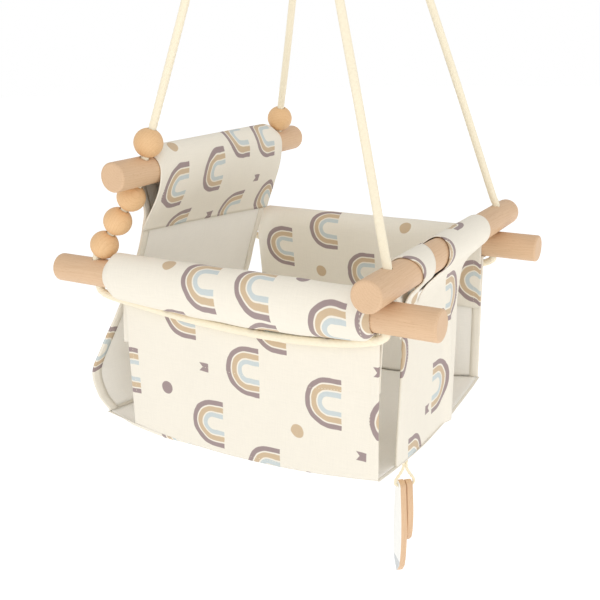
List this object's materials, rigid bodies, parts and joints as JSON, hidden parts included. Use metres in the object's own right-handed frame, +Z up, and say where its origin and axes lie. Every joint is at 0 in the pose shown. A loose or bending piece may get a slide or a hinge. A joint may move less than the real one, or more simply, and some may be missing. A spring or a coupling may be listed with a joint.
{
  "type": "baby swing",
  "caption": "Canvas baby swing seat on four round wooden bars, hung by cotton ropes with wooden beads from two steel rings, with wooden feather pendants below.",
  "frame": {"origin": "midway between the two hooks that hold the swing, at the inside top of its two steel rings", "axes": "+Z up; +X towards the seated child's left, along the front and back bars; the child faces -Y"},
  "size_m": [0.386, 0.44, 0.9516],
  "materials": {
    "beech_bar": "sanded, oiled",
    "wooden_bead": "sanded, oiled",
    "beech_pendant": "sanded, one face painted white",
    "printed_canvas": "plain weave cotton canvas with a nursery print",
    "plain_lining": "plain weave cotton",
    "cotton_rope": "braided cotton",
    "cotton_cord": "braided cotton",
    "steel": "polished"
  },
  "bodies": {
    "hanging_rings": {"right_ring": "steel", "left_ring": "steel"},
    "seat": {"right_rope": "cotton_rope", "left_rope": "cotton_rope", "right_knot": "cotton_rope", "left_knot": "cotton_rope", "back_bar": "beech_bar", "front_bar": "beech_bar", "right_side_bar": "beech_bar", "left_side_bar": "beech_bar", "back_panel": "printed_canvas", "right_side_panel": "printed_canvas", "left_side_panel": "printed_canvas", "front_panel": "printed_canvas", "seat_base": "printed_canvas", "back_lining": "plain_lining", "right_side_lining": "plain_lining", "left_side_lining": "plain_lining", "front_lining": "plain_lining", "seat_lining": "plain_lining"},
    "right_top_bead": {"right_top_bead": "wooden_bead"},
    "left_top_bead": {"left_top_bead": "wooden_bead"},
    "right_upper_bead": {"right_upper_bead": "wooden_bead"},
    "right_middle_bead": {"right_middle_bead": "wooden_bead"},
    "right_lower_bead": {"right_lower_bead": "wooden_bead"},
    "left_upper_bead": {"left_upper_bead": "wooden_bead"},
    "left_middle_bead": {"left_middle_bead": "wooden_bead"},
    "left_lower_bead": {"left_lower_bead": "wooden_bead"},
    "pendant_cord": {"pendant_cord": "cotton_cord"},
    "long_feather": {"long_feather": "beech_pendant"},
    "short_feather": {"short_feather": "beech_pendant"}
  },
  "joints": [
    {"name": "seat_swing", "type": "hinge", "parent": "hanging_rings", "child": "seat", "pos_m": [0, 0, -0.033], "axis": [1, 0, 0], "range_deg": [-35, 35]},
    {"name": "right_top_bead_slide", "type": "slide", "parent": "seat", "child": "right_top_bead", "axis": [0.1792, -0.2575, 0.9495], "range_m": [0, 0.38]},
    {"name": "right_upper_bead_spin", "type": "hinge", "parent": "seat", "child": "right_upper_bead", "pos_m": [-0.13353, 0.13847, -0.53912], "axis": [0.2096, -0.5031, 0.8384], "continuous": true},
    {"name": "right_middle_bead_spin", "type": "hinge", "parent": "seat", "child": "right_middle_bead", "pos_m": [-0.13988, 0.15372, -0.56453], "axis": [0.2096, -0.5031, 0.8384], "continuous": true},
    {"name": "right_lower_bead_spin", "type": "hinge", "parent": "seat", "child": "right_lower_bead", "pos_m": [-0.14623, 0.16896, -0.58993], "axis": [0.2096, -0.5031, 0.8384], "continuous": true},
    {"name": "left_top_bead_slide", "type": "slide", "parent": "seat", "child": "left_top_bead", "axis": [-0.1792, -0.2575, 0.9495], "range_m": [0, 0.38]},
    {"name": "left_upper_bead_spin", "type": "hinge", "parent": "seat", "child": "left_upper_bead", "pos_m": [0.13353, 0.13847, -0.53912], "axis": [-0.2096, -0.5031, 0.8384], "continuous": true},
    {"name": "left_middle_bead_spin", "type": "hinge", "parent": "seat", "child": "left_middle_bead", "pos_m": [0.13988, 0.15372, -0.56453], "axis": [-0.2096, -0.5031, 0.8384], "continuous": true},
    {"name": "left_lower_bead_spin", "type": "hinge", "parent": "seat", "child": "left_lower_bead", "pos_m": [0.14623, 0.16896, -0.58993], "axis": [-0.2096, -0.5031, 0.8384], "continuous": true},
    {"name": "pendant_swing", "type": "hinge", "parent": "seat", "child": "pendant_cord", "pos_m": [-0.05, -0.136, -0.80356], "axis": [1, 0, 0], "range_deg": [-45, 45]},
    {"name": "long_feather_swing", "type": "hinge", "parent": "pendant_cord", "child": "long_feather", "pos_m": [-0.05, -0.136, -0.84056], "axis": [-0.6691, 0.7431, 0], "range_deg": [-35, 35]},
    {"name": "short_feather_swing", "type": "hinge", "parent": "pendant_cord", "child": "short_feather", "pos_m": [-0.05, -0.136, -0.84056], "axis": [-0.6691, 0.7431, 0], "range_deg": [-35, 35]}
  ]
}
